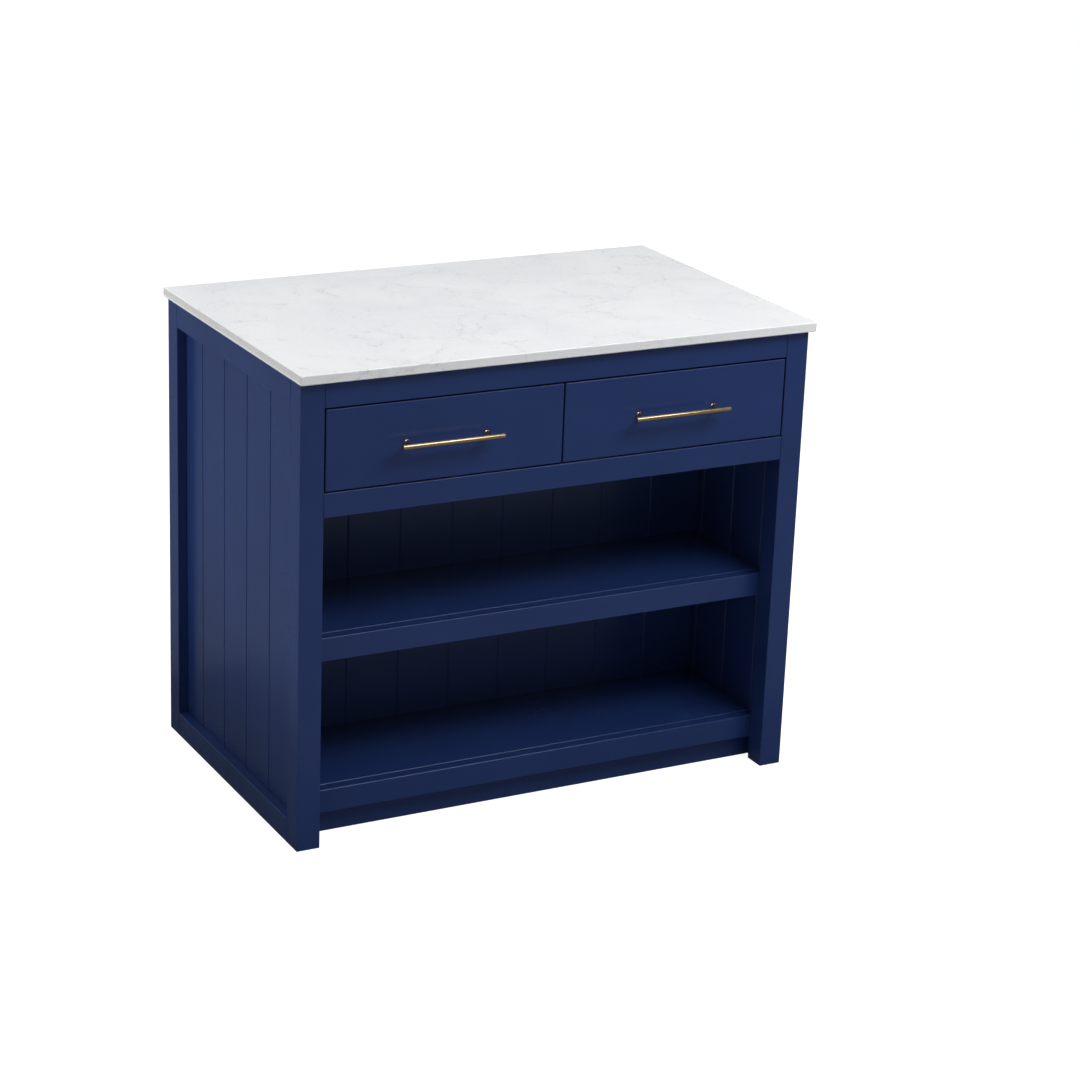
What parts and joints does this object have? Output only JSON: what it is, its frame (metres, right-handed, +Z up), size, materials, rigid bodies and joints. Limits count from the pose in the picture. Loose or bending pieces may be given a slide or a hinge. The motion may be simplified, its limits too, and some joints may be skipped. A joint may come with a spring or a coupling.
{
  "type": "kitchen island",
  "caption": "Painted kitchen island with a stone worktop, inset drawers with bar handles, open shelves on both long sides and recessed grooved end panels.",
  "frame": {"origin": "on the floor, under the middle of the whole object's box, handles included", "axes": "+X along the island to the right of someone who faces the drawers, +Y from the drawer side to the far side, +Z up"},
  "size_m": [1.066, 0.688, 0.916],
  "materials": {
    "navy_paint": "satin navy lacquer on wood, with eased edges",
    "white_quartz": null,
    "brushed_brass": "brushed champagne brass, clear lacquered",
    "drawer_birch": "clear lacquered birch plywood",
    "zinc_steel": "bright zinc plated steel"
  },
  "bodies": {
    "carcass": {"back_apron": "navy_paint", "back_drawer_rail": "navy_paint", "back_left_post": "navy_paint", "back_right_post": "navy_paint", "back_toe_kick": "navy_paint", "back_top_rail": "navy_paint", "countertop": "white_quartz", "drawer_divider": "navy_paint", "front_drawer_rail": "navy_paint", "front_left_post": "navy_paint", "front_right_post": "navy_paint", "front_toe_kick": "navy_paint", "front_top_rail": "navy_paint", "left_drawer_inner_slide_fixed": "zinc_steel", "left_drawer_outer_slide_fixed": "zinc_steel", "left_foot_rail": "navy_paint", "left_side_panel": "navy_paint", "left_slide_cleat": "drawer_birch", "left_top_rail": "navy_paint", "lower_centre_panel": "navy_paint", "lower_shelf": "navy_paint", "lower_shelf_back_rail": "navy_paint", "lower_shelf_front_rail": "navy_paint", "right_drawer_inner_slide_fixed": "zinc_steel", "right_drawer_outer_slide_fixed": "zinc_steel", "right_foot_rail": "navy_paint", "right_side_panel": "navy_paint", "right_slide_cleat": "drawer_birch", "right_top_rail": "navy_paint", "upper_centre_panel": "navy_paint", "upper_shelf": "navy_paint", "upper_shelf_back_rail": "navy_paint", "upper_shelf_front_rail": "navy_paint"},
    "left_drawer": {"left_drawer_bottom": "drawer_birch", "left_drawer_box_back": "drawer_birch", "left_drawer_box_front": "drawer_birch", "left_drawer_front": "navy_paint", "left_drawer_inner_side": "drawer_birch", "left_drawer_inner_slide_moving": "zinc_steel", "left_drawer_outer_side": "drawer_birch", "left_drawer_outer_slide_moving": "zinc_steel", "left_handle": "brushed_brass", "left_handle_left_screw": "zinc_steel", "left_handle_right_screw": "zinc_steel"},
    "right_drawer": {"right_drawer_bottom": "drawer_birch", "right_drawer_box_back": "drawer_birch", "right_drawer_box_front": "drawer_birch", "right_drawer_front": "navy_paint", "right_drawer_inner_side": "drawer_birch", "right_drawer_inner_slide_moving": "zinc_steel", "right_drawer_outer_side": "drawer_birch", "right_drawer_outer_slide_moving": "zinc_steel", "right_handle": "brushed_brass", "right_handle_left_screw": "zinc_steel", "right_handle_right_screw": "zinc_steel"},
    "left_slide_middles": {"left_drawer_inner_slide_middle": "zinc_steel", "left_drawer_outer_slide_middle": "zinc_steel"},
    "right_slide_middles": {"right_drawer_inner_slide_middle": "zinc_steel", "right_drawer_outer_slide_middle": "zinc_steel"}
  },
  "joints": [
    {"name": "left_drawer_slide", "type": "slide", "parent": "carcass", "child": "left_drawer", "axis": [0, -1, 0], "range_m": [0, 0.47]},
    {"name": "right_drawer_slide", "type": "slide", "parent": "carcass", "child": "right_drawer", "axis": [0, -1, 0], "range_m": [0, 0.47]},
    {"name": "left_middle_slide", "type": "slide", "parent": "carcass", "child": "left_slide_middles", "axis": [0, -1, 0], "range_m": [0, 0.235]},
    {"name": "right_middle_slide", "type": "slide", "parent": "carcass", "child": "right_slide_middles", "axis": [0, -1, 0], "range_m": [0, 0.235]}
  ],
  "couplings": [
    {"joint": "left_middle_slide", "follows": "left_drawer_slide", "ratio": 0.5},
    {"joint": "right_middle_slide", "follows": "right_drawer_slide", "ratio": 0.5}
  ]
}
